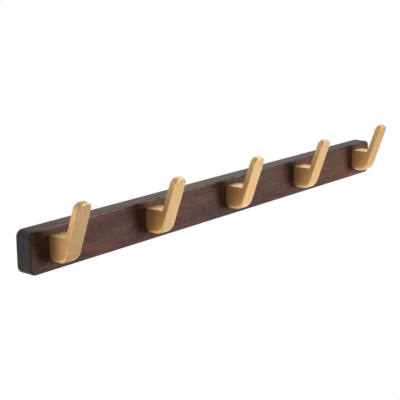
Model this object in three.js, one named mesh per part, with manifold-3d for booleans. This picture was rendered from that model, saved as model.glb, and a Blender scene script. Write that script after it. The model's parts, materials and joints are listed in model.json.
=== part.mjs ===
// Wall hook rack: a walnut rail that carries five J-shaped metal hooks, each screwed on from
// behind with two machine screws, and two keyhole plates let into its back to hang it by.
// Millimetres. +X runs along the rail, +Z is up, and the rack faces -Y.
// The origin is the centre of the rail's back face, which lies on the wall at y = 0.

import * as THREE from 'three';
import { mergeVertices } from 'three/addons/utils/BufferGeometryUtils.js';
import Module from 'manifold-3d';

// Rail. Its length follows from the hooks: the pitch between them and a margin at each end.
const hookCount = 5;
const hookPitch = 141.5;
const endMargin = 35;
const railHeight = 45;
const railThickness = 21;
const railEdgeRadius = 2.2; // rounding of the edges round the front and back faces
const railCornerRadius = 7.5; // rounding of the four corners, seen from the front

// Hook. Heights are measured from the rail's centreline and depths from its front face.
const hookWidth = 19.1;
const hookBottom = -12.4;
const seatHeight = 15.4; // flat top of the block, where a strap or a collar hangs
const seatDepth = 23.6;
const seatFillet = 1.2;
const bladeLean = THREE.MathUtils.degToRad(19.5);
const bladeThickness = 6.65;
const tipHeight = 53.8;
const tipCornerRadius = 7; // front view, upper corners
const footCornerRadius = 4.2; // front view, lower corners
const toeRadius = 11.5; // side view, from the blade's front face into the underside
const heelRadius = 3; // side view, from the underside into the face on the rail

// Machine screws that hold a hook. The head sits in a counterbore, with solid wood under it.
const hookScrewSpacing = 13;
const hookScrewRadius = 2;
const hookScrewLength = 20;
const hookScrewHeadRadius = 4;
const hookScrewHeadHeight = 2.8;
const clampedWood = 13; // wood between the screw head and the hook
const counterboreClearance = 0.8;
const drillPoint = 1.5; // hole left past the end of a screw

// Keyhole plates. The entry hole lets a wall screw's head in, and the slot above it catches it.
const plateThickness = 2;
const plateLength = 46;
const plateCornerRadius = 3;
const plateInset = 0.3; // how far the plate lies below the rail's back face
const entryRadius = 5;
const slotRadius = 2.5;
const slotTravel = 10.5; // from the entry hole's centre up to the slot's top centre
const keyholeBorder = 3; // metal above the slot and below the entry hole
const headSpaceDepth = 6; // room for the wall screw's head in the wood behind the plate
const headSpaceMargin = 0.6;

// Countersunk wood screws that hold a keyhole plate.
const plateScrewMargin = 6.5; // from the plate's end to the screw's centre
const plateScrewRadius = 1.7;
const plateScrewLength = 12;
const plateScrewPoint = 3.5; // length of its tapered point
const plateScrewHeadRadius = 3.4;
const plateScrewHeadHeight = 1.8;

// Cross recess in every screw head.
const recessDepth = 1.2;
const recessArm = 0.9; // width of an arm
const recessShare = 0.55; // span of the cross as a share of the head

const fitGap = 0.3; // clearance round a screw's shank, its cone and a plate in its recess
const cutPast = 1; // how far a cutting solid runs past the surface it opens
const arcSteps = 4; // curve segments: half the facets of one arc
const roundSteps = 20; // facets round a hole or a screw

const railLength = (hookCount - 1) * hookPitch + 2 * endMargin;
const hookScrewHeight = (seatHeight + hookBottom + heelRadius) / 2;
const hookScrewReach = hookScrewLength - clampedWood;
const counterboreFloor = clampedWood - railThickness;
const plateHeight = 2 * keyholeBorder + entryRadius + slotTravel + slotRadius;
const entryHeight = keyholeBorder + entryRadius - plateHeight / 2;
const plateFloor = -plateInset - plateThickness;

const walnut = new THREE.MeshStandardMaterial({ color: '#4b342d', roughness: 0.55 });
const gold = new THREE.MeshStandardMaterial({ color: '#c89e5e', roughness: 0.42, metalness: 0.9 });
const zincSteel = new THREE.MeshStandardMaterial({ color: '#a9abad', roughness: 0.4, metalness: 1 });

// The front view's plane, extruded into the room, and the side view's, extruded along the rail.
const right = new THREE.Vector3(1, 0, 0);
const up = new THREE.Vector3(0, 0, 1);
const intoRoom = new THREE.Vector3(0, -1, 0);
const frontView = new THREE.Matrix4().makeBasis(right, up, intoRoom);
const sideView = new THREE.Matrix4().makeBasis(intoRoom, up, right.clone().negate());

const wasm = await Module();
wasm.setup();

function toSolid(geometry) {
  const bare = geometry.clone();
  bare.deleteAttribute('normal');
  bare.deleteAttribute('uv');
  const merged = mergeVertices(bare);
  const vertProperties = new Float32Array(merged.attributes.position.array);
  const triVerts = new Uint32Array(merged.index.array);
  return new wasm.Manifold(new wasm.Mesh({ numProp: 3, vertProperties, triVerts }));
}

function toGeometry(solid) {
  const { vertProperties, triVerts } = solid.getMesh();
  const geometry = new THREE.BufferGeometry();
  geometry.setAttribute('position', new THREE.BufferAttribute(vertProperties, 3));
  geometry.setIndex(new THREE.BufferAttribute(triVerts, 1));
  geometry.computeVertexNormals();
  return geometry;
}

// A closed outline from corners [x, y, radius], each rounded by an arc of its own radius.
function filletedShape(corners) {
  const shape = new THREE.Shape();
  corners.forEach(([x, y, radius], index) => {
    const corner = new THREE.Vector2(x, y);
    const before = new THREE.Vector2(...corners.at(index - 1)).sub(corner).normalize();
    const after = new THREE.Vector2(...corners[(index + 1) % corners.length]).sub(corner).normalize();
    const halfAngle = Math.acos(before.dot(after)) / 2;
    const start = before.clone().multiplyScalar(radius / Math.tan(halfAngle)).add(corner);
    if (index === 0) shape.moveTo(start.x, start.y);
    else shape.lineTo(start.x, start.y);
    if (radius > 0) {
      const inwards = before.clone().add(after).normalize();
      const centre = inwards.multiplyScalar(radius / Math.sin(halfAngle)).add(corner);
      const end = after.clone().multiplyScalar(radius / Math.tan(halfAngle)).add(corner);
      const from = start.sub(centre).angle();
      const to = end.sub(centre).angle();
      shape.absarc(centre.x, centre.y, radius, from, to, before.cross(after) > 0);
    }
  });
  shape.closePath();
  return shape;
}

// A rectangle about x = 0 with one radius at its two lower corners and one at its two upper.
function roundedRectangle(width, low, high, lowRadius, highRadius) {
  return filletedShape([
    [-width / 2, low, lowRadius],
    [width / 2, low, lowRadius],
    [width / 2, high, highRadius],
    [-width / 2, high, highRadius],
  ]);
}

function extrude(shape, depth) {
  return new THREE.ExtrudeGeometry(shape, { depth, bevelEnabled: false, curveSegments: arcSteps });
}

// A round cutter along Y, between two depths, at a place along the rail and a height.
function drill(radius, fromY, toY, x, z) {
  const cutter = new THREE.CylinderGeometry(radius, radius, Math.abs(toY - fromY), roundSteps);
  return toSolid(cutter.translate(x, (fromY + toY) / 2, z));
}

// A round solid from [radius, distance] points, its axis turned to point into the room.
function turned(points) {
  const profile = points.map(([radius, distance]) => new THREE.Vector2(radius, distance));
  return new THREE.LatheGeometry(profile, roundSteps).rotateX(Math.PI);
}

function cutCross(geometry, headRadius, headTop) {
  const span = 2 * headRadius * recessShare;
  const across = new THREE.BoxGeometry(span, 2 * recessDepth, recessArm).translate(0, headTop, 0);
  const upright = new THREE.BoxGeometry(recessArm, 2 * recessDepth, span).translate(0, headTop, 0);
  return toGeometry(toSolid(geometry).subtract(toSolid(across).add(toSolid(upright))));
}

// Profile of a countersunk screw and, grown by a gap, of the hole that it fits.
function countersunkPoints(gap) {
  const shank = plateScrewRadius + gap;
  const pointStart = plateScrewLength - plateScrewPoint;
  return [
    [0, 0],
    [plateScrewHeadRadius + gap, 0],
    [shank, plateScrewHeadHeight],
    [shank, pointStart + gap],
    [0, plateScrewLength + gap],
  ];
}

function keyholeOutline() {
  const opening = Math.asin(slotRadius / entryRadius);
  const slotTop = entryHeight + slotTravel;
  const path = new THREE.Path();
  path.absarc(0, entryHeight, entryRadius, Math.PI / 2 + opening, Math.PI / 2 - opening, false);
  path.absarc(0, slotTop, slotRadius, 0, Math.PI, false);
  path.closePath();
  return path;
}

// The board with its rounded edges, the hooks' stepped screw holes, and for each plate a
// recess, a space for the wall screw's head behind the keyhole, and two screw holes.
function railGeometry(hookPlaces, platePlaces) {
  const half = railHeight / 2;
  const outline = roundedRectangle(railLength, -half, half, railCornerRadius, railCornerRadius);
  const board = new THREE.ExtrudeGeometry(outline, {
    depth: railThickness - 2 * railEdgeRadius,
    bevelThickness: railEdgeRadius,
    bevelSize: railEdgeRadius,
    bevelOffset: -railEdgeRadius,
    bevelSegments: arcSteps,
    curveSegments: arcSteps,
  });
  let solid = toSolid(board.translate(0, 0, railEdgeRadius).applyMatrix4(frontView));

  for (const x of hookPlaces) {
    for (const z of hookScrewHeights()) {
      const shankHole = drill(hookScrewRadius + fitGap, cutPast, -railThickness - cutPast, x, z);
      const headRadius = hookScrewHeadRadius + counterboreClearance;
      const headHole = drill(headRadius, cutPast, counterboreFloor, x, z);
      solid = solid.subtract(shankHole).subtract(headHole);
    }
  }
  for (const x of platePlaces) {
    solid = solid.subtract(plateRecess(x)).subtract(headSpace(x));
    for (const screwX of plateScrewPlaces(x)) {
      const hole = turned(countersunkPoints(fitGap)).translate(screwX, -plateInset, 0);
      solid = solid.subtract(toSolid(hole));
    }
  }
  return toGeometry(solid);
}

function plateRecess(x) {
  const reach = plateHeight / 2 + fitGap;
  const corner = plateCornerRadius + fitGap;
  const outline = roundedRectangle(plateLength + 2 * fitGap, -reach, reach, corner, corner);
  const recess = extrude(outline, cutPast - plateFloor).translate(0, 0, -cutPast);
  return toSolid(recess.applyMatrix4(frontView).translate(x, 0, 0));
}

function headSpace(x) {
  const radius = entryRadius + headSpaceMargin;
  const low = entryHeight - radius;
  const high = entryHeight + slotTravel + radius;
  const space = extrude(roundedRectangle(2 * radius, low, high, radius, radius), headSpaceDepth + cutPast);
  return toSolid(space.applyMatrix4(frontView).translate(x, plateFloor + cutPast, 0));
}

// A hook is its side view swept across its width, then trimmed twice: from the front, so that
// its foot has round corners, and square to the leaning blade, so that its tip has.
function hookGeometry() {
  const tipDepth = seatDepth + (tipHeight - seatHeight) * Math.tan(bladeLean);
  const frontTipDepth = tipDepth + bladeThickness * Math.cos(bladeLean);
  const frontTipHeight = tipHeight - bladeThickness * Math.sin(bladeLean);
  const toeDepth = frontTipDepth - (frontTipHeight - hookBottom) * Math.tan(bladeLean);
  const side = filletedShape([
    [0, hookBottom, heelRadius],
    [toeDepth, hookBottom, toeRadius],
    [frontTipDepth, frontTipHeight, 0],
    [tipDepth, tipHeight, 0],
    [seatDepth, seatHeight, seatFillet],
    [0, seatHeight, 0],
  ]);
  const swept = extrude(side, hookWidth).translate(0, 0, -hookWidth / 2).applyMatrix4(sideView);

  const reach = frontTipDepth + tipHeight - hookBottom; // longer than the hook in any direction
  const footShape = roundedRectangle(hookWidth, hookBottom, reach, footCornerRadius, 0);
  const footTrim = extrude(footShape, reach + cutPast).translate(0, 0, -cutPast).applyMatrix4(frontView);

  const alongBlade = new THREE.Vector3(0, -Math.sin(bladeLean), Math.cos(bladeLean));
  const outOfBlade = new THREE.Vector3().crossVectors(right, alongBlade);
  const bladeView = new THREE.Matrix4().makeBasis(right, alongBlade, outOfBlade);
  bladeView.setPosition(0, -tipDepth, tipHeight);
  const tipShape = roundedRectangle(hookWidth, -2 * reach, 0, 0, tipCornerRadius);
  const tipTrim = extrude(tipShape, 2 * reach).translate(0, 0, -reach).applyMatrix4(bladeView);

  let solid = toSolid(swept).intersect(toSolid(footTrim)).intersect(toSolid(tipTrim));
  for (const z of hookScrewHeights()) {
    const holeEnd = -hookScrewReach - drillPoint;
    solid = solid.subtract(drill(hookScrewRadius + fitGap, cutPast, holeEnd, 0, z));
  }
  return toGeometry(solid);
}

// Its underside is at y = 0, its head behind that and its shank pointing into the room.
function hookScrewGeometry() {
  const rim = hookScrewHeadRadius * 0.7; // the pan head's flat top
  const screw = turned([
    [0, -hookScrewHeadHeight],
    [rim, -hookScrewHeadHeight],
    [hookScrewHeadRadius, -hookScrewHeadHeight / 2],
    [hookScrewHeadRadius, 0],
    [hookScrewRadius, 0],
    [hookScrewRadius, hookScrewLength - hookScrewRadius / 2],
    [hookScrewRadius / 2, hookScrewLength],
    [0, hookScrewLength],
  ]);
  return cutCross(screw, hookScrewHeadRadius, hookScrewHeadHeight);
}

// Its head's face is at y = 0 and its point in the wood.
function plateScrewGeometry() {
  return cutCross(turned(countersunkPoints(0)), plateScrewHeadRadius, 0);
}

// Its back face is at y = 0, and the countersinks open on that side.
function plateGeometry() {
  const reach = plateHeight / 2;
  const outline = roundedRectangle(plateLength, -reach, reach, plateCornerRadius, plateCornerRadius);
  outline.holes.push(keyholeOutline());
  let solid = toSolid(extrude(outline, plateThickness).applyMatrix4(frontView));
  for (const x of plateScrewPlaces(0)) {
    const hole = turned(countersunkPoints(fitGap)).translate(x, 0, 0);
    const mouth = drill(plateScrewHeadRadius + fitGap, cutPast, 0, x, 0);
    solid = solid.subtract(toSolid(hole)).subtract(mouth);
  }
  return toGeometry(solid);
}

function hookScrewHeights() {
  return [hookScrewHeight + hookScrewSpacing / 2, hookScrewHeight - hookScrewSpacing / 2];
}

function plateScrewPlaces(x) {
  const offset = plateLength / 2 - plateScrewMargin;
  return [x - offset, x + offset];
}

const rack = new THREE.Group();

function addPiece(name, geometry, material, x, y, z) {
  const mesh = new THREE.Mesh(geometry, material);
  mesh.name = name;
  mesh.position.set(x, y, z);
  rack.add(mesh);
}

const firstHook = -(hookCount - 1) * hookPitch / 2;
const hookPlaces = Array.from({ length: hookCount }, (_, index) => firstHook + index * hookPitch);
const firstPlate = firstHook + hookPitch / 2; // midway between the first two hooks
const platePlaces = [firstPlate, -firstPlate];

addPiece('rail', railGeometry(hookPlaces, platePlaces), walnut, 0, 0, 0);

const hookShape = hookGeometry();
const hookScrewShape = hookScrewGeometry();
hookPlaces.forEach((x, index) => {
  const [upper, lower] = hookScrewHeights();
  addPiece(`hook_${index + 1}`, hookShape, gold, x, -railThickness, 0);
  addPiece(`hook_screw_${index + 1}_upper`, hookScrewShape, zincSteel, x, counterboreFloor, upper);
  addPiece(`hook_screw_${index + 1}_lower`, hookScrewShape, zincSteel, x, counterboreFloor, lower);
});

const plateShape = plateGeometry();
const plateScrewShape = plateScrewGeometry();
['left', 'right'].forEach((side, index) => {
  const x = platePlaces[index];
  const [screwA, screwB] = plateScrewPlaces(x);
  addPiece(`keyhole_plate_${side}`, plateShape, zincSteel, x, -plateInset, 0);
  addPiece(`plate_screw_${side}_a`, plateScrewShape, zincSteel, screwA, -plateInset, 0);
  addPiece(`plate_screw_${side}_b`, plateScrewShape, zincSteel, screwB, -plateInset, 0);
});

export default rack;
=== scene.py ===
import json
import math

import bmesh
import bpy
from mathutils import Matrix, Vector


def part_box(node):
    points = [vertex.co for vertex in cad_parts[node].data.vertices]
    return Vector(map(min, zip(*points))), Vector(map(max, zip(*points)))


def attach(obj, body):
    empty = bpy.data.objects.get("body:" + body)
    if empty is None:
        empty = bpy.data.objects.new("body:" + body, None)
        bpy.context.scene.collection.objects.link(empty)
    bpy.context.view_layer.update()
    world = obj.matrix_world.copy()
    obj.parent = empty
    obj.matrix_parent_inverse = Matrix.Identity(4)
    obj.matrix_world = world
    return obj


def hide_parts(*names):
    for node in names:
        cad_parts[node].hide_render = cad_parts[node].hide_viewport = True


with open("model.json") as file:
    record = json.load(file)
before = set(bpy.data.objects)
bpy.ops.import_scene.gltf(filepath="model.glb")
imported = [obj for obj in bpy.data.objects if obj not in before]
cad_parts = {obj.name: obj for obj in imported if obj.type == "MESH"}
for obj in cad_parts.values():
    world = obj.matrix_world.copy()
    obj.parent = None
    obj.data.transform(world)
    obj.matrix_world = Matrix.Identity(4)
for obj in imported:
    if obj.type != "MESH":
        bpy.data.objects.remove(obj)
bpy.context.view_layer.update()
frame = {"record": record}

# Sizes are in millimetres and degrees, and places come from the frame.
mm = 0.001
mountHeights = {mount["name"]: mount["pos_m"][2] / mm for mount in frame["record"]["mounts"]}
hookNumbers = range(1, 6)
levels = ("upper", "lower")  # of the two screws behind each hook
sides = ("left", "right")  # of the two keyhole plates
ends = ("a", "b")  # of the two screws in each plate
overcut = 1  # how far a cutter stands clear of the face that it cuts
leastRadius = 0.01
smoothBelow = math.radians(32)  # faces that meet at less than this shade as one


class Wire:
    # one output of a shader node, with the usual operators
    def __init__(self, tree, socket=None):
        self.tree = tree
        self.socket = socket

    def node(self, kind, settings=None, inputs=None, output=0):
        made = self.tree.nodes.new("ShaderNode" + kind)
        for name, value in (settings or {}).items():
            setattr(made, name, value)
        for name, value in (inputs or {}).items():
            if isinstance(value, Wire):
                self.tree.links.new(value.socket, made.inputs[name])
            elif isinstance(value, tuple) and made.inputs[name].type == "RGBA":
                made.inputs[name].default_value = (*value, 1)
            else:
                made.inputs[name].default_value = value
        return Wire(self.tree, made.outputs[output])

    def join(self, operation, first, second):
        kind = self.socket.type
        if kind != "VALUE":
            first, second = (v if isinstance(v, (Wire, tuple)) else (v, v, v) for v in (first, second))
        if kind == "VECTOR":
            return self.node("VectorMath", {"operation": operation}, {0: first, 1: second})
        if kind == "RGBA":
            settings = {"data_type": "RGBA", "blend_type": operation}
            return self.node("Mix", settings, {0: 1.0, 6: first, 7: second}, 2)  # factor and two colours
        return self.node("Math", {"operation": operation}, {0: first, 1: second})

    def __add__(self, other):
        return self.join("ADD", self, other)

    __radd__ = __add__

    def __mul__(self, other):
        return self.join("MULTIPLY", self, other)

    __rmul__ = __mul__

    def __sub__(self, other):
        return self.join("SUBTRACT", self, other)

    def __rsub__(self, other):
        return self.join("SUBTRACT", other, self)

    def __pow__(self, other):
        return self.join("POWER", self, other)

    def __rpow__(self, other):
        return self.join("POWER", other, self)

    def blend(self, low, high):
        # this value chooses between two colours
        return self.node("Mix", {"data_type": "RGBA"}, {0: self, 6: low, 7: high}, 2)

    def between(self, low, high):
        # 0 up to low and 1 from high on, with a smooth step between them
        values = {"Value": self, "From Min": low, "From Max": high}
        return self.node("MapRange", {"interpolation_type": "SMOOTHSTEP"}, values)

    def sine(self):
        return self.node("Math", {"operation": "SINE"}, {0: self})

    def noise(self, stretch, detail, roughness, seed):
        # stretch is how many waves to a metre along each axis
        spot = self * stretch + (seed, seed * 0.7, seed * 1.3)
        values = {"Vector": spot, "Scale": 1.0, "Detail": detail, "Roughness": roughness}
        return self.node("TexNoise", None, values)


def blankMaterial(name):
    material = bpy.data.materials.new(name)
    material.use_nodes = True
    material.node_tree.nodes.clear()
    return material, Wire(material.node_tree)


def showShader(start, shader):
    out = start.tree.nodes.new("ShaderNodeOutputMaterial")
    start.tree.links.new(shader.socket, out.inputs["Surface"])


def finishMaterial(start, surface, bump, bumpDepth, bumpStrength):
    height = {"Height": bump, "Distance": bumpDepth * mm, "Strength": bumpStrength}
    surface["Normal"] = start.node("Bump", None, height)
    showShader(start, start.node("BsdfPrincipled", None, surface))


def nodeBox(name):
    low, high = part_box(name)
    return low / mm, high / mm


walnutLook = {
    "ringSpacing": 5.6,
    "pithOut": 35,  # the rings' centre, out from the wall and up from the rail's middle
    "pithUp": 140,
    "darkBrown": (0.064, 0.031, 0.0255),
    "midBrown": (0.106, 0.054, 0.043),
    "red": (0.178, 0.066, 0.036),
    "olive": (0.078, 0.052, 0.031),
    "paintedHighlight": (0.42, 0.37, 0.35),
    "darkEnd": (0.019, 0.019, 0.026),
    "paleEnd": (0.041, 0.036, 0.045),
    "lowEdgeDark": (0.026, 0.014, 0.012),
    "roughness": 0.42,
    "gloss": 0.3,
    "bumpDepth": 0.12,
}


def oiledWalnut():
    material, start = blankMaterial("oiledWalnut")
    look = walnutLook
    place = start.node("TexCoord", output="Object")
    along, inward, upward = [start.node("SeparateXYZ", None, {0: place}, axis) for axis in range(3)]
    low, high = nodeBox("rail")
    left, front, bottom, top = low.x * mm, low.y * mm, low.z * mm, high.z * mm

    # growth rings round a pith above the board and in front of it, bent by slow waves along it
    slowWave = place.noise((5, 14, 14), 2, 0.5, 3.1) - 0.5
    quickWave = place.noise((26, 90, 90), 3, 0.6, 8.4) - 0.5
    fromPith = ((inward + look["pithOut"] * mm) ** 2 + (upward - look["pithUp"] * mm) ** 2) ** 0.5
    ringRadius = fromPith + slowWave * 0.034 + quickWave * 0.004
    rings = (ringRadius * (2 * math.pi / (look["ringSpacing"] * mm))).sine() * 0.5 + 0.5

    patches = place.noise((12, 52, 52), 3, 0.55, 1.7).between(0.36, 0.66)
    redness = place.noise((13, 44, 44), 3, 0.6, 5.2).between(0.5, 0.68)
    olive = place.noise((6, 18, 18), 2, 0.5, 14.2).between(0.55, 0.75) * 0.4
    leftEndShare = 1 - along.between(left + 8 * mm, left + 56 * mm)  # the left end is duller, olive wood
    fibres = place.noise((60, 1500, 1500), 3, 0.6, 2.3)
    streaks = place.noise((16, 380, 380), 3, 0.6, 6.6)
    pores = place.noise((200, 2400, 2400), 1, 0.5, 9.9).between(0.6, 0.7)

    tone = patches.blend(look["darkBrown"], look["midBrown"])
    tone = (redness * 0.75).blend(tone, look["red"])
    tone = (olive + leftEndShare * 0.55).blend(tone, look["olive"])
    shade = (rings * 0.34 + 0.83) * (streaks * 1.2 + fibres * 0.8) * (1 - pores * 0.45)
    tone = tone * shade.blend((0.0, 0.0, 0.0), (1.0, 1.0, 1.0))

    # painted highlight: a pale, broken line along the upper front edge, where the rounded edge catches the
    # light, weaker towards the right
    highlightBreakup = place.noise((90, 9, 9), 3, 0.6, 21.3).between(0.3, 0.62)
    nearFront = 1 - inward.between(front + 0.7 * mm, front + 1.4 * mm)
    onEdge = upward.between(top - 1.4 * mm, top - 0.7 * mm) * nearFront
    edgeHighlight = onEdge * highlightBreakup * (1 - along.between(-20 * mm, 160 * mm) * 0.75)
    tone = (edgeHighlight * 0.8).blend(tone, look["paintedHighlight"])

    # end grain drinks more oil, so it is darker and greyer
    facing = start.node("SeparateXYZ", None, {0: start.node("NewGeometry", output="Normal")}, 0)
    endGrain = (facing * facing).between(0.2, 0.85)
    saw = place.noise((300, 900, 40), 3, 0.6, 12.5).between(0.3, 0.7)
    tone = endGrain.blend(tone, saw.blend(look["darkEnd"], look["paleEnd"]))

    # darker along the lower front edge
    nearFront = 1 - inward.between(front + 0.7 * mm, front + 2.5 * mm)
    lowEdge = (1 - upward.between(bottom + 0.2 * mm, bottom + 1.8 * mm)) * nearFront
    tone = (lowEdge * 0.6).blend(tone, look["lowEdgeDark"])

    surface = {
        "Base Color": tone,
        "Roughness": fibres * 0.2 + pores * 0.2 + look["roughness"],
        "Specular IOR Level": look["gloss"],
    }
    finishMaterial(start, surface, fibres * 0.5 - pores, look["bumpDepth"], 0.6)
    return material


goldLook = {
    "deep": (0.83, 0.585, 0.283),
    "pale": (0.87, 0.615, 0.302),
    "mottleDark": (0.97, 0.965, 0.95),  # both multiply the gold
    "mottlePale": (1.10, 1.10, 1.11),
    "roughness": 0.43,
    "bumpDepth": 0.03,
}


def satinGold():
    material, start = blankMaterial("satinGold")
    look = goldLook
    place = start.node("TexCoord", output="Object")
    cloud = place.noise((45, 45, 45), 2, 0.5, 4.4)
    grain = place.noise((5200, 5200, 5200), 1, 0.5, 7.3)
    brushed = place.noise((2600, 2600, 160), 2, 0.6, 2.9)
    mottle = place.noise((620, 620, 170), 3, 0.65, 8.8).between(0.3, 0.7)
    tone = cloud.between(0.3, 0.7).blend(look["deep"], look["pale"])
    tone = tone * mottle.blend(look["mottleDark"], look["mottlePale"])
    surface = {
        "Base Color": tone,
        "Metallic": 1.0,
        "Roughness": cloud * 0.06 + grain * 0.05 - mottle * 0.04 + look["roughness"],
    }
    finishMaterial(start, surface, grain + brushed * 0.6, look["bumpDepth"], 0.5)
    return material


zincLook = {"dull": (0.50, 0.515, 0.53), "bright": (0.62, 0.62, 0.60), "roughness": 0.28, "bumpDepth": 0.03}


def zincPlate():
    material, start = blankMaterial("zincPlate")
    look = zincLook
    place = start.node("TexCoord", output="Object")
    cloud = place.noise((160, 160, 160), 3, 0.55, 1.1)
    scratches = place.noise((400, 900, 5200), 2, 0.6, 3.3)
    surface = {
        "Base Color": cloud.between(0.35, 0.65).blend(look["dull"], look["bright"]),
        "Metallic": 1.0,
        "Roughness": look["roughness"] + cloud * 0.12 + scratches * 0.1,
    }
    finishMaterial(start, surface, scratches + cloud * 0.4, look["bumpDepth"], 0.4)
    return material


def circleThrough(corner, before, after, radius, steps):
    # points of the arc of that radius that rounds a corner
    corner, before, after = Vector(corner), Vector(before), Vector(after)
    a, b = (before - corner).normalized(), (after - corner).normalized()
    half = a.angle(b) / 2
    start, end = corner + a * (radius / math.tan(half)), corner + b * (radius / math.tan(half))
    centre = corner + (a + b).normalized() * (radius / math.sin(half))
    fromAngle = math.atan2(*(start - centre).yx)
    turn = (math.atan2(*(end - centre).yx) - fromAngle + math.pi) % (2 * math.pi) - math.pi
    angles = [fromAngle + turn * step / steps for step in range(steps + 1)]
    return [centre + radius * Vector((math.cos(angle), math.sin(angle))) for angle in angles]


def roundedOutline(corners):
    # a closed outline from (x, y, radius, steps) corners
    points = []
    for index, (x, y, radius, steps) in enumerate(corners):
        before, after = corners[index - 1][:2], corners[(index + 1) % len(corners)][:2]
        points += circleThrough((x, y), before, after, max(radius, leastRadius), steps)
    return points


def rectangle(width, low, high, radius, steps):
    half = width / 2
    places = ((-half, low), (half, low), (half, high), (-half, high))
    return roundedOutline([(x, z, radius, steps) for x, z in places])


def loft(name, loops):
    # skins a stack of closed loops with the same number of points, and closes both ends
    made = bmesh.new()
    rings = [[made.verts.new(Vector(point) * mm) for point in loop] for loop in loops]
    for ring, following in zip(rings, rings[1:]):
        for index in range(len(ring)):
            made.faces.new((ring[index - 1], ring[index], following[index], following[index - 1]))
    made.faces.new(rings[0])
    made.faces.new(rings[-1])
    bmesh.ops.recalc_face_normals(made, faces=made.faces)
    mesh = bpy.data.meshes.new(name)
    made.to_mesh(mesh)
    made.free()
    mesh.set_sharp_from_angle(angle=smoothBelow)
    piece = bpy.data.objects.new(name, mesh)
    bpy.context.scene.collection.objects.link(piece)
    return piece


def rounds(steps, radius):
    # (inset, distance) pairs of a quarter round, from its start on the face to its full width
    angles = [math.pi / 2 * step / steps for step in range(steps + 1)]
    return [(radius * (1 - math.sin(angle)), radius * (1 - math.cos(angle))) for angle in angles]


def circles(points, steps):
    # loops round the y axis from (radius, distance) points, each that distance out from the wall
    angles = [2 * math.pi * step / steps for step in range(steps)]
    return [[(r * math.cos(a), -distance, r * math.sin(a)) for a in angles] for r, distance in points]


def turned(name, points, steps=48):
    return loft(name, circles(points, steps))


def moved(piece, x, y, z):
    piece.data.transform(Matrix.Translation(Vector((x, y, z)) * mm))
    return piece


def carve(piece, cutters, operation="DIFFERENCE"):
    for cutter in cutters:
        modifier = piece.modifiers.new("carve", "BOOLEAN")
        modifier.operation = operation
        modifier.solver = "EXACT"
        modifier.object = cutter
    bpy.context.view_layer.update()
    evaluated = piece.evaluated_get(bpy.context.evaluated_depsgraph_get())
    carved = bpy.data.meshes.new_from_object(evaluated)
    piece.modifiers.clear()
    piece.data = carved
    for cutter in cutters:
        bpy.data.objects.remove(cutter)
    return piece


def joined(name, pieces):
    # one object from pieces that don't touch each other
    made = bmesh.new()
    for piece in pieces:
        made.from_mesh(piece.data)
        bpy.data.objects.remove(piece)
    mesh = bpy.data.meshes.new(name)
    made.to_mesh(mesh)
    made.free()
    result = bpy.data.objects.new(name, mesh)
    bpy.context.scene.collection.objects.link(result)
    return result


def finishPiece(piece, material, nodes):
    piece.data.materials.clear()
    piece.data.materials.append(material)
    piece.data.polygons.foreach_set("use_smooth", [True] * len(piece.data.polygons))
    piece.data.set_sharp_from_angle(angle=smoothBelow)
    weighted = piece.modifiers.new("evenShading", "WEIGHTED_NORMAL")
    weighted.keep_sharp = True
    weighted.weight = 100
    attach(piece, "root")
    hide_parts(*nodes)


hookScrew = {
    "shank": 4,
    "head": 8,
    "headHeight": 2.8,
    "pitch": 0.7,
    "threadDepth": 0.35,
    "clampedWood": 13,  # between the screw's head and the hook
    "clearance": 0.8,  # round the head in its counterbore
    "steps": 40,
}


def makeHookScrew():
    # a pan-head machine screw with its bearing face at y = 0
    radius, height = hookScrew["head"] / 2, hookScrew["headHeight"]
    shank, steps = hookScrew["shank"] / 2, hookScrew["steps"]
    low, high = nodeBox("hook_screw_1_upper")
    length = high.y - low.y - height
    domeAngles = (0.06, 0.3, 0.55, 0.8, 1.05, 1.3, 1.5)
    dome = [(radius * math.sin(a), -height * (0.45 + 0.55 * math.cos(a))) for a in domeAngles]
    brim = [(radius, -height * 0.4), (radius, -0.25), (radius - 0.2, 0), (shank + 0.15, 0)]
    loops = circles(dome + brim, steps)
    loops += threaded(shank, hookScrew["threadDepth"], hookScrew["pitch"], 0.3, length - 0.7, steps)
    loops += circles([(shank - 0.8, length), (0.2, length)], steps)
    screw = loft("hookScrewShape", loops)
    return carve(screw, [crossCutter(5.0, 1.0, 1.8, height)])


plateScrew = {
    "shank": 3.4,
    "head": 6.8,
    "headHeight": 1.8,
    "point": 3.5,
    "pitch": 1.3,
    "threadDepth": 0.55,
    "threadStart": 2.6,
    "length": 12,
    "steps": 36,
}


def makePlateScrew():
    # a countersunk wood screw with its face at y = 0
    head, shank, length = plateScrew["head"] / 2, plateScrew["shank"] / 2, plateScrew["length"]
    start, taper, steps = plateScrew["threadStart"], length - plateScrew["point"], plateScrew["steps"]
    neck = (shank * 0.85, plateScrew["headHeight"] + 0.2)
    loops = circles([(0.2, 0), (head - 0.15, 0), (head, 0.12), (head, 0.25), neck], steps)
    loops += threaded(shank, plateScrew["threadDepth"], plateScrew["pitch"], start, length, steps, taper)
    screw = loft("plateScrewShape", loops)
    return carve(screw, [crossCutter(4.0, 0.9, 1.5, 0)])


def threaded(radius, depth, pitch, start, end, steps, taperFrom=None):
    # loops of a screw thread between two distances, its ridge winding round as it goes
    ringsPerTurn = 7
    pointShare = 0.06  # of the radius, left at the very point
    loops = []
    rings = max(2, round((end - start) / pitch * ringsPerTurn))
    for ring in range(rings + 1):
        distance = start + (end - start) * ring / rings
        shrink = 1.0
        if taperFrom is not None and distance > taperFrom:
            shrink = max(pointShare, 1 - (distance - taperFrom) / (end - taperFrom))
        loop = []
        for step in range(steps):
            angle = 2 * math.pi * step / steps
            turn = (distance / pitch - step / steps) % 1
            fade = min(1, (distance - start) / pitch, max(0.0, (end - distance) / pitch))
            ridge = 1 - abs(2 * turn - 1)
            reach = (radius - depth * (1 - ridge) * fade) * shrink
            loop.append((reach * math.cos(angle), -distance, reach * math.sin(angle)))
        loops.append(loop)
    return loops


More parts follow.
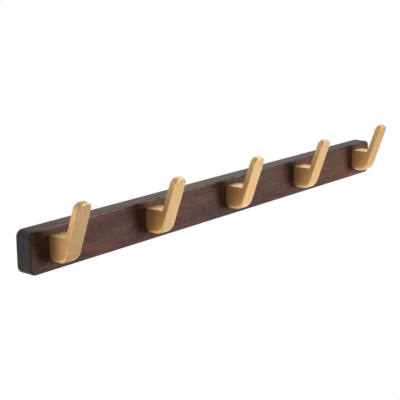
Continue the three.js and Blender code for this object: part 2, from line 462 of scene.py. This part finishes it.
def crossCutter(span, arm, depth, at):
    # a tapered cross that sinks into a screw head from y = at towards the room
    bars = []
    for turn in (0, math.pi / 2):
        cosine, sine = math.cos(turn), math.sin(turn)
        loops = []
        for distance, share in ((-0.6, 1.15), (depth * 0.55, 0.72), (depth, 0.3)):
            halfLong, halfWide = span / 2 * share, arm / 2 * (0.8 + 0.2 * share)
            corners = [(halfLong * i, halfWide * j) for i, j in ((-1, -1), (1, -1), (1, 1), (-1, 1))]
            loops.append([(u * cosine - v * sine, at - distance, u * sine + v * cosine) for u, v in corners])
        bars.append(loft("crossBar", loops))
    return carve(bars[0], [bars[1]], "UNION")


def placeCopies(shape, places, steel):
    # one piece for each place, each with its own copy of the shape
    for name, node, spot in places:
        piece = bpy.data.objects.new(name, shape.data.copy())
        piece.data.transform(Matrix.Translation(Vector(spot) * mm))
        bpy.context.scene.collection.objects.link(piece)
        finishPiece(piece, steel, [node])
    bpy.data.objects.remove(shape)


def bearingSpot(node, bearing):
    # where a screw's bearing face lies, from its node's box
    low, high = nodeBox(node)
    return ((low.x + high.x) / 2, high.y - bearing, (low.z + high.z) / 2)


plate = {
    "edge": 0.25,
    "corner": 3,
    "entry": 10,
    "slot": 5,
    "travel": 10.5,
    "border": 3,
    "headSpace": 6,  # depth in the wood for the wall screw's head
    "headSpaceMargin": 0.6,
    "screwHeadSlack": 0.15,
    "screwShankSlack": 0.2,
}


def keyholeOutline(entryHeight):
    # a round entry with a narrower slot that runs up from it
    entry, slot = plate["entry"] / 2, plate["slot"] / 2
    slotTop = entryHeight + plate["travel"]
    opening = math.asin(slot / entry)
    sweep = [math.pi / 2 + opening + (2 * math.pi - 2 * opening) * step / 40 for step in range(41)]
    top = [math.pi * step / 16 for step in range(17)]
    outline = [(entry * math.cos(a), entryHeight + entry * math.sin(a)) for a in sweep]
    return outline + [(slot * math.cos(a), slotTop + slot * math.sin(a)) for a in top]


def makePlate(side, steel):
    low, high = nodeBox(f"keyhole_plate_{side}")
    middle, width = (low.x + high.x) / 2, high.x - low.x
    edge, corner = plate["edge"], plate["corner"]
    loops = []
    for y, inset in ((high.y, edge), (high.y - edge, 0), (low.y + edge, 0), (low.y, edge)):
        outline = rectangle(width - 2 * inset, low.z + inset, high.z - inset, corner - inset, 8)
        loops.append([(middle + x, y, z) for x, z in outline])
    piece = loft(f"keyholePlate{side.capitalize()}", loops)

    outline = keyholeOutline(low.z + plate["border"] + plate["entry"] / 2)
    throughPlate = (high.y + overcut, low.y - overcut)
    cutters = [loft("keyhole", [[(middle + x, y, z) for x, z in outline] for y in throughPlate])]
    head = plateScrew["head"] / 2 + plate["screwHeadSlack"]
    shank = plateScrew["shank"] / 2 + plate["screwShankSlack"]
    points = [
        (head + overcut, -high.y - overcut),
        (head, -high.y),
        (shank, -high.y + plateScrew["headHeight"]),
        (shank, -low.y + overcut),
    ]
    for end in ends:
        boxLow, boxHigh = nodeBox(f"plate_screw_{side}_{end}")
        centre = (boxLow + boxHigh) / 2
        cutters.append(moved(turned("countersink", points), centre.x, 0, centre.z))
    carve(piece, [joined("plateHoles", cutters)])
    finishPiece(piece, steel, [f"keyhole_plate_{side}"])


board = {
    "edgeRadius": 2.2,
    "cornerRadius": 7.5,
    "arcSteps": 9,
    "mouthBevel": 0.35,  # round the screw holes' mouths
    "shankSlack": 0.3,  # round a hook screw's shank
    "plateSlack": 0.3,  # round a keyhole plate
    "pilotSlack": 0.1,  # round a plate screw
}


def railBlank():
    low, high = nodeBox("rail")
    length, middle = high.x - low.x, (low.x + high.x) / 2
    corner, steps = board["cornerRadius"], board["arcSteps"]
    quarter = rounds(steps, board["edgeRadius"])
    stations = [(inset, low.y + distance) for inset, distance in quarter]
    stations += [(inset, high.y - distance) for inset, distance in reversed(quarter)]
    loops = []
    for inset, y in stations:
        outline = rectangle(length - 2 * inset, low.z + inset, high.z - inset, corner - inset, steps)
        loops.append([(middle + x, y, z) for x, z in outline])
    return loft("walnutRail", loops)


def cutScrewHoles(rail):
    # counterbored from behind, one for each hook screw
    low, high = nodeBox("rail")
    floor = hookScrew["clampedWood"] + low.y
    head = hookScrew["head"] / 2 + hookScrew["clearance"]
    shank = hookScrew["shank"] / 2 + board["shankSlack"]
    mouth = board["mouthBevel"]
    points = [
        (head + mouth + overcut, -overcut),
        (head, mouth),
        (head, -floor),
        (shank, -floor),
        (shank, -low.y + overcut),
    ]
    holes = []
    for number in hookNumbers:
        for level in levels:
            boxLow, boxHigh = nodeBox(f"hook_screw_{number}_{level}")
            centre = (boxLow + boxHigh) / 2
            holes.append(moved(turned("screwHole", points), centre.x, high.y, centre.z))
    carve(rail, [joined("screwHoles", holes)])


def pilotHole(node):
    # parallel nearly to the screw's point, then a cone to just past it
    low, high = nodeBox(node)
    centre = (low + high) / 2
    radius = plateScrew["shank"] / 2 + board["pilotSlack"]
    points = [(radius, -high.y + 0.5), (radius, -low.y - 2), (0.2, -low.y + 1)]
    return moved(turned("pilot", points, 24), centre.x, 0, centre.z)


def cutPlateRecesses(rail):
    # a recess for each plate, deeper room for the wall screw's head, and the pilot holes
    back = nodeBox("rail")[1].y
    slack = board["plateSlack"]
    headRoom = plate["entry"] / 2 + plate["headSpaceMargin"]
    slabs, wells = [], []
    for side in sides:
        low, high = nodeBox(f"keyhole_plate_{side}")
        centre = (low + high) / 2
        width = high.x - low.x + 2 * slack
        outline = rectangle(width, low.z - slack, high.z + slack, plate["corner"] + slack, 6)
        depths = (back + overcut, low.y)
        slabs.append(loft("plateRecess", [[(centre.x + x, y, z) for x, z in outline] for y in depths]))
        entryHeight = low.z + plate["border"] + plate["entry"] / 2
        bottom, top = entryHeight - headRoom, entryHeight + plate["travel"] + headRoom
        outline = rectangle(2 * headRoom, bottom, top, headRoom - leastRadius, 14)
        depths = (low.y + overcut, low.y - plate["headSpace"])
        wells.append(loft("headSpace", [[(centre.x + x, y, z) for x, z in outline] for y in depths]))
        wells += [pilotHole(f"plate_screw_{side}_{end}") for end in ends]
    carve(rail, [joined("plateRecesses", slabs)])
    carve(rail, [joined("plateWells", wells)])


def makeRail(walnut):
    rail = railBlank()
    cutScrewHoles(rail)
    cutPlateRecesses(rail)
    finishPiece(rail, walnut, ["rail"])


hook = {
    "seatDepth": 23.6,  # of the flat top, out from the rail
    "lean": 19.5,  # of the blade, away from the wall
    "thickness": 6.65,
    "seatFillet": 1.2,
    "toeRadius": 11.5,
    "heelRadius": 3,
    "tipEdge": 0.8,
    "edge": 0.5,  # rounding of the long edges
    "tipCorner": 7,
    "footCorner": 4.2,
    "seatEdge": 0.35,
    "holeSlack": 0.05,  # round a screw in its tapped hole
    "holeBevel": 0.6,
}


def hookSlice(inward, low, high, seatHeight):
    # a slice's outline this far in from the side face, where the rounded edges make it smaller
    def sunk(radius):
        return radius - math.sqrt(max(radius**2 - (radius - min(inward, radius)) ** 2, 0))

    inset, tipDrop, footRise = sunk(hook["edge"]), sunk(hook["tipCorner"]), sunk(hook["footCorner"])
    seatInset = sunk(hook["seatEdge"])
    lean = math.radians(hook["lean"])
    alongBlade = Vector((math.sin(lean), math.cos(lean)))
    outOfBlade = Vector((math.cos(lean), -math.sin(lean)))
    seatCorner = Vector((hook["seatDepth"], seatHeight))
    tipBack = seatCorner + alongBlade * ((high - seatHeight) / alongBlade.y)
    tipFront = tipBack + outOfBlade * hook["thickness"]
    toe = tipFront + alongBlade * ((low - tipFront.y) / alongBlade.y)

    # move every line inwards by its own inset and meet them again
    backShift, frontShift = outOfBlade * inset, -outOfBlade * inset
    seatLine = seatHeight - seatInset
    seatMeet = seatCorner + backShift + alongBlade * ((seatLine - seatHeight - backShift.y) / alongBlade.y)
    tipBackMeet = tipBack + backShift - alongBlade * tipDrop
    tipFrontMeet = tipFront + frontShift - alongBlade * tipDrop
    footLine = low + footRise
    toeMeet = toe + frontShift + alongBlade * ((footLine - low - frontShift.y) / alongBlade.y)
    return roundedOutline([
        (0, seatLine, 2 * leastRadius, 1),
        (*seatMeet, hook["seatFillet"] + inset, 7),
        (*tipBackMeet, hook["tipEdge"] - inset, 5),
        (*tipFrontMeet, hook["tipEdge"] - inset, 5),
        (*toeMeet, hook["toeRadius"] - inset, 14),
        (0, footLine, hook["heelRadius"] - inset, 9),
    ])


def sliceDepths(width):
    # how far in from the side the slices lie, close together where an edge curves
    closest = 0.012
    wanted = {0.0, width / 2}
    for edge, steps in (("seatEdge", 3), ("edge", 5), ("footCorner", 9), ("tipCorner", 14)):
        wanted |= {hook[edge] * (1 - math.cos(math.pi / 2 * step / steps)) for step in range(steps + 1)}
    depths = []
    for depth in sorted(wanted):
        if not depths or depth - depths[-1] > closest:
            depths.append(depth)
    return depths


def tappedHole(node, back):
    # a blind hole for one screw, with its mouth bevelled at the hook's back
    low, high = nodeBox(node)
    centre = (low + high) / 2
    radius = hookScrew["shank"] / 2 + hook["holeSlack"]
    depth = -low.y + 1.5
    mouth = [(radius + hook["holeBevel"], -back - 0.3), (radius, -back + 0.3)]
    points = mouth + [(radius, depth), (0.3, depth + 1)]
    return moved(turned("tappedHole", points, 24), centre.x, 0, centre.z)


def makeHook(number, gold):
    low, high = nodeBox(f"hook_{number}")
    middle, width = (low.x + high.x) / 2, high.x - low.x
    depths = sliceDepths(width)
    stations = [(-width / 2 + depth, depth) for depth in depths]
    stations += [(width / 2 - depth, depth) for depth in reversed(depths[:-1])]
    loops = []
    for x, depth in stations:
        outline = hookSlice(depth, low.z, high.z, mountHeights[f"hook_{number}_seat"])
        loops.append([(middle + x, high.y - out, z) for out, z in outline])
    piece = loft(f"goldHook{number}", loops)
    holes = [tappedHole(f"hook_screw_{number}_{level}", high.y) for level in levels]
    carve(piece, [joined("tappedHoles", holes)])
    finishPiece(piece, gold, [f"hook_{number}"])


view = {
    "azimuth": -50.3,  # round from straight in front, towards the left end
    "elevation": 13.6,
    "roll": -0.3,
    "distance": 1244,
    "lens": 94.1,
    "sensor": 36,
    "aimAlong": -33.4,  # from the middle of the rail's back face
    "aimUp": -1.4,
    "farthest": 300000,
}


def aimed(spot, target):
    facing = (Vector(target) - Vector(spot)).to_track_quat("-Z", "Y")
    return Matrix.Translation(spot) @ facing.to_matrix().to_4x4()


def addCamera():
    low, high = nodeBox("rail")
    target = Vector(((low.x + high.x) / 2 + view["aimAlong"], high.y, (low.z + high.z) / 2 + view["aimUp"]))
    azimuth, elevation = math.radians(view["azimuth"]), math.radians(view["elevation"])
    level = math.cos(elevation)
    towards = (math.sin(azimuth) * level, -math.cos(azimuth) * level, math.sin(elevation))
    spot = target + Vector(towards) * view["distance"]
    data = bpy.data.cameras.new("rackCamera")
    data.lens = view["lens"]
    data.sensor_width = view["sensor"]
    data.clip_end = view["farthest"] * mm
    camera = bpy.data.objects.new("rackCamera", data)
    camera.matrix_world = aimed(spot * mm, target * mm) @ Matrix.Rotation(math.radians(view["roll"]), 4, "Z")
    bpy.context.scene.collection.objects.link(camera)
    bpy.context.scene.camera = camera


tints = {
    "neutral": (1.0, 1.0, 1.0),
    "warm": (1.0, 0.8, 0.7),
    "amber": (1.0, 0.65, 0.4),
    "cool": (0.7, 0.8, 1.0),
}

softboxes = {
    # the key shades the wood left of each hook, and the fill lights the hooks' left sides
    "key": {"place": (1250, -1800, 200), "size": 1100, "watts": 40, "tint": "warm"},
    "fill": {"place": (-1900, 150, -1200), "size": 2200, "watts": 20, "tint": "amber"},
    # the cards are mirrored by the hooks
    "bladeCard": {"place": (650, -350, -500), "size": 500, "watts": 0.6, "tint": "neutral"},
    "toeCard": {"place": (650, 150, -550), "size": 500, "watts": 1, "tint": "cool"},
    "tipCard": {"place": (650, 250, 550), "size": 500, "watts": 1, "tint": "cool"},
    "seatCard": {"place": (500, 550, 200), "size": 500, "watts": 0.5, "tint": "warm"},
}


def addSoftboxes():
    for name, box in softboxes.items():
        data = bpy.data.lights.new(name, "AREA")
        data.shape = "DISK"
        data.size = box["size"] * mm
        data.energy = box["watts"]
        data.color = tints[box["tint"]]
        light = bpy.data.objects.new(name, data)
        light.matrix_world = aimed(Vector(box["place"]) * mm, (0, 0, 0))
        bpy.context.scene.collection.objects.link(light)


studio = {
    "wallGlow": 0.8,  # of the air on the wall's side, fading to nothing towards the room
    "domeRadius": 24000,
    "floorShare": 0.9,  # of the dome's radius
    "floorDrop": 1900,
}


def addWorld():
    world = bpy.data.worlds.new("studioAir")
    world.use_nodes = True
    air = Wire(world.node_tree)
    direction = air.node("TexCoord", output="Generated")
    towardsWall = air.node("SeparateXYZ", None, {0: direction}, 1) * 0.5 + 0.5
    background = world.node_tree.nodes["Background"]
    world.node_tree.links.new((towardsWall * studio["wallGlow"]).socket, background.inputs["Strength"])
    background.inputs["Color"].default_value = (*tints["neutral"], 1)
    bpy.context.scene.world = world


def addBackdropPiece(name, shape, height):
    mesh = bpy.data.meshes.new(name)
    shape.to_mesh(mesh)
    shape.free()
    piece = bpy.data.objects.new(name, mesh)
    piece.location.z = height
    material, start = blankMaterial(name)
    showShader(start, start.node("Emission", None, {"Color": (1.0, 1.0, 1.0), "Strength": 1.0}))
    mesh.materials.append(material)
    for rays in ("diffuse", "glossy", "transmission", "volume_scatter", "shadow"):
        setattr(piece, "visible_" + rays, False)
    bpy.context.scene.collection.objects.link(piece)


def addBackdrop():
    # a white dome and a floor that only the camera sees, so that neither lights the rack
    radius = studio["domeRadius"] * mm
    dome = bmesh.new()
    bmesh.ops.create_uvsphere(dome, u_segments=48, v_segments=24, radius=radius)
    addBackdropPiece("whiteDome", dome, 0)
    floor = bmesh.new()
    bmesh.ops.create_circle(floor, cap_ends=True, segments=64, radius=radius * studio["floorShare"])
    addBackdropPiece("paleFloor", floor, -studio["floorDrop"] * mm)


addCamera()
addWorld()
addSoftboxes()
addBackdrop()
print("studio ready")

walnut, gold, steel = oiledWalnut(), satinGold(), zincPlate()
makeRail(walnut)
print("rail ready")
for number in hookNumbers:
    makeHook(number, gold)
print("hooks ready")

hookScrewPlaces = []
for number in hookNumbers:
    for level in levels:
        node = f"hook_screw_{number}_{level}"
        spot = bearingSpot(node, hookScrew["headHeight"])
        hookScrewPlaces.append((f"hookScrew{number}{level.capitalize()}", node, spot))
placeCopies(makeHookScrew(), hookScrewPlaces, steel)
plateScrewPlaces = []
for side in sides:
    makePlate(side, steel)
    for end in ends:
        node = f"plate_screw_{side}_{end}"
        plateScrewPlaces.append((f"plateScrew{side.capitalize()}{end.upper()}", node, bearingSpot(node, 0)))
placeCopies(makePlateScrew(), plateScrewPlaces, steel)
print("hardware ready")

scene = bpy.context.scene
scene.view_settings.view_transform = "Standard"
scene.view_settings.look = "None"
scene.cycles.use_denoising = True
